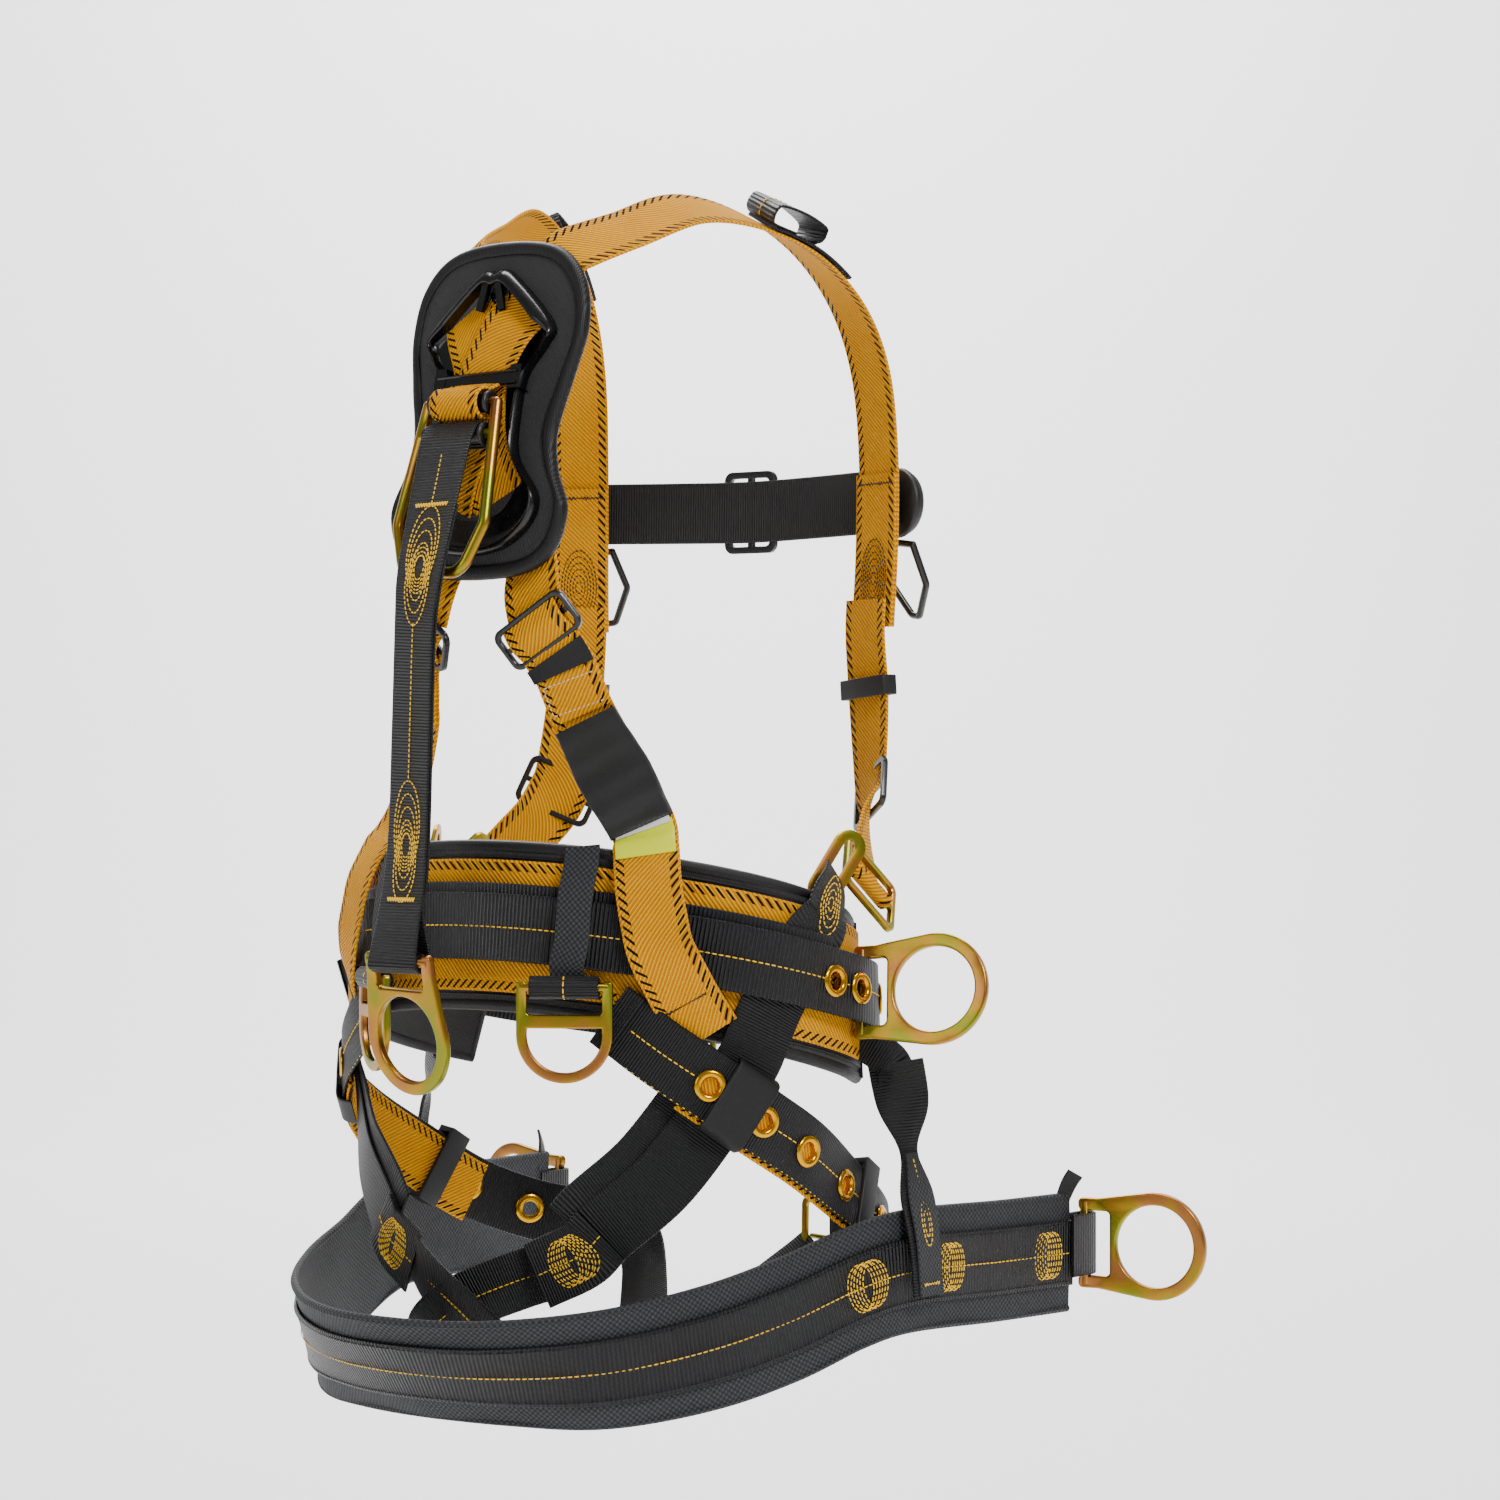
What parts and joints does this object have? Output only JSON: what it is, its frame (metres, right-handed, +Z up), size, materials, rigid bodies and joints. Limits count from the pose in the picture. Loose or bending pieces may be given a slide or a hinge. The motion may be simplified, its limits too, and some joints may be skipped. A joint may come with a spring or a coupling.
{
  "type": "safety harness",
  "caption": "Full-body climbing harness with shoulder, belt, leg and saddle webbing, padded back and waist, and hinged steel D-rings for fall arrest, positioning and restraint.",
  "frame": {"origin": "middle of the waist belt's opening, on the belt's tilted plane", "axes": "+Z up along the standing wearer, the wearer faces -Y, the wearer's right is -X"},
  "size_m": [0.6658, 0.4961, 0.8348],
  "materials": {
    "orange_webbing": "woven polyester webbing, diagonal ribs, black marker threads near both edges",
    "black_webbing": "woven polyester webbing, fine cross ribs",
    "textured_webbing": "basket-weave webbing and mesh",
    "padding": "twill-covered foam with bound edges",
    "moulded_plastic": "injection-moulded nylon, glossy",
    "matte_plastic": "injection-moulded plastic, fine grain",
    "yellow_zinc_steel": "forged or stamped steel, yellow-passivated zinc plate",
    "black_steel": "steel with a black coating",
    "brass": "rolled brass eyelet",
    "label_cloth": "woven label cover, blank",
    "size_tab_vinyl": "lime-yellow vinyl tab, blank",
    "rubber_sleeve": "soft sleeve on a ring's bar"
  },
  "bodies": {
    "harness": {"dorsal_pad": "padding", "dorsal_plate": "moulded_plastic", "shoulder_strap_right": "orange_webbing", "shoulder_strap_left": "orange_webbing", "dorsal_wrap": "orange_webbing", "label_pack": "label_cloth", "size_tab": "size_tab_vinyl", "back_strap_right": "orange_webbing", "back_strap_left": "orange_webbing", "hip_strap_right": "black_webbing", "hip_strap_left": "black_webbing", "leg_strap_right": "black_webbing", "leg_strap_left": "black_webbing", "leg_grommets_right": "brass", "leg_grommets_left": "brass", "crotch_strap_right": "black_webbing", "crotch_strap_left": "black_webbing", "waist_pad": "padding", "pad_facing": "orange_webbing", "belt_webbing": "black_webbing", "belt_grommets": "brass", "belt_buckle": "yellow_zinc_steel", "belt_prong": "yellow_zinc_steel", "back_adjusters": "black_steel", "strap_keepers": "black_webbing", "side_patches": "textured_webbing", "rear_straps": "textured_webbing", "rear_rolls": "black_webbing", "leg_buckles": "yellow_zinc_steel", "leg_prongs": "yellow_zinc_steel", "leg_loops": "black_webbing", "hip_connectors": "yellow_zinc_steel", "hip_frames": "yellow_zinc_steel", "front_straps": "orange_webbing", "front_adjusters": "black_steel", "front_keepers": "matte_plastic", "front_covers": "matte_plastic", "shoulder_loops": "textured_webbing", "chest_strap": "black_webbing", "chest_buckle": "black_steel"},
    "dorsal_ring": {"dorsal_ring": "yellow_zinc_steel", "dorsal_sleeves": "rubber_sleeve"},
    "extension_strap": {"extension_strap": "black_webbing"},
    "extension_ring": {"extension_ring": "yellow_zinc_steel", "extension_sleeve": "rubber_sleeve"},
    "saddle": {"saddle_band": "textured_webbing", "saddle_webbing": "black_webbing", "link_strap_right": "black_webbing", "link_strap_left": "black_webbing"},
    "side_ring_right": {"side_ring_right": "yellow_zinc_steel"},
    "side_ring_left": {"side_ring_left": "yellow_zinc_steel"},
    "rear_ring_right": {"rear_ring_right": "yellow_zinc_steel"},
    "rear_ring_left": {"rear_ring_left": "yellow_zinc_steel"},
    "saddle_ring_right": {"saddle_ring_right": "yellow_zinc_steel"},
    "saddle_ring_left": {"saddle_ring_left": "yellow_zinc_steel"},
    "front_ring_right": {"front_ring_right": "black_steel"},
    "front_ring_left": {"front_ring_left": "black_steel"},
    "leg_keeper_right": {"leg_keeper_right": "matte_plastic"},
    "leg_keeper_left": {"leg_keeper_left": "matte_plastic"}
  },
  "joints": [
    {"name": "dorsal_ring_lift", "type": "hinge", "parent": "harness", "child": "dorsal_ring", "pos_m": [0, 0.155, 0.387], "axis": [1, 0, 0], "range_deg": [0, 120]},
    {"name": "extension_strap_swing", "type": "hinge", "parent": "dorsal_ring", "child": "extension_strap", "pos_m": [0, 0.16076, 0.36577], "axis": [1, 0, 0], "range_deg": [0, 50]},
    {"name": "extension_ring_flip", "type": "hinge", "parent": "extension_strap", "child": "extension_ring", "pos_m": [0.01, 0.207, 0.017], "axis": [0.9931, -0.1153, 0.0212], "range_deg": [0, 60]},
    {"name": "side_ring_right_turn", "type": "hinge", "parent": "harness", "child": "side_ring_right", "pos_m": [-0.19603, -0.02909, -0.00816], "axis": [0.1248, -0.1995, 0.9719], "range_deg": [-45, 45]},
    {"name": "side_ring_left_turn", "type": "hinge", "parent": "harness", "child": "side_ring_left", "pos_m": [0.19628, -0.02963, -0.00826], "axis": [-0.1257, -0.1986, 0.972], "range_deg": [0, 45]},
    {"name": "rear_ring_right_lift", "type": "hinge", "parent": "harness", "child": "rear_ring_right", "pos_m": [-0.084, 0.15, 0], "axis": [0.8486, 0.5291, 0], "range_deg": [0, 100]},
    {"name": "rear_ring_left_lift", "type": "hinge", "parent": "harness", "child": "rear_ring_left", "pos_m": [0.084, 0.15, 0], "axis": [0.8486, -0.5291, 0], "range_deg": [0, 100]},
    {"name": "saddle_swing", "type": "hinge", "parent": "harness", "child": "saddle", "pos_m": [0, -0.052, -0.05], "axis": [1, 0, 0], "range_deg": [0, 30]},
    {"name": "saddle_ring_right_turn", "type": "hinge", "parent": "saddle", "child": "saddle_ring_right", "pos_m": [-0.243, -0.238, -0.194], "axis": [0, 0, 1], "range_deg": [-30, 60]},
    {"name": "saddle_ring_left_turn", "type": "hinge", "parent": "saddle", "child": "saddle_ring_left", "pos_m": [0.243, -0.238, -0.194], "axis": [0, 0, -1], "range_deg": [-30, 60]},
    {"name": "front_ring_right_lift", "type": "hinge", "parent": "harness", "child": "front_ring_right", "pos_m": [-0.14, -0.152, 0.303], "axis": [-0.9507, 0.3102, 0], "range_deg": [0, 60]},
    {"name": "front_ring_left_lift", "type": "hinge", "parent": "harness", "child": "front_ring_left", "pos_m": [0.14, -0.152, 0.303], "axis": [-0.9507, -0.3102, 0], "range_deg": [0, 60]},
    {"name": "leg_keeper_right_slide", "type": "slide", "parent": "harness", "child": "leg_keeper_right", "axis": [0.0802, -0.8618, -0.5009], "range_m": [-0.008, 0.008]},
    {"name": "leg_keeper_left_slide", "type": "slide", "parent": "harness", "child": "leg_keeper_left", "axis": [-0.0802, -0.8618, -0.5009], "range_m": [-0.008, 0.008]}
  ]
}
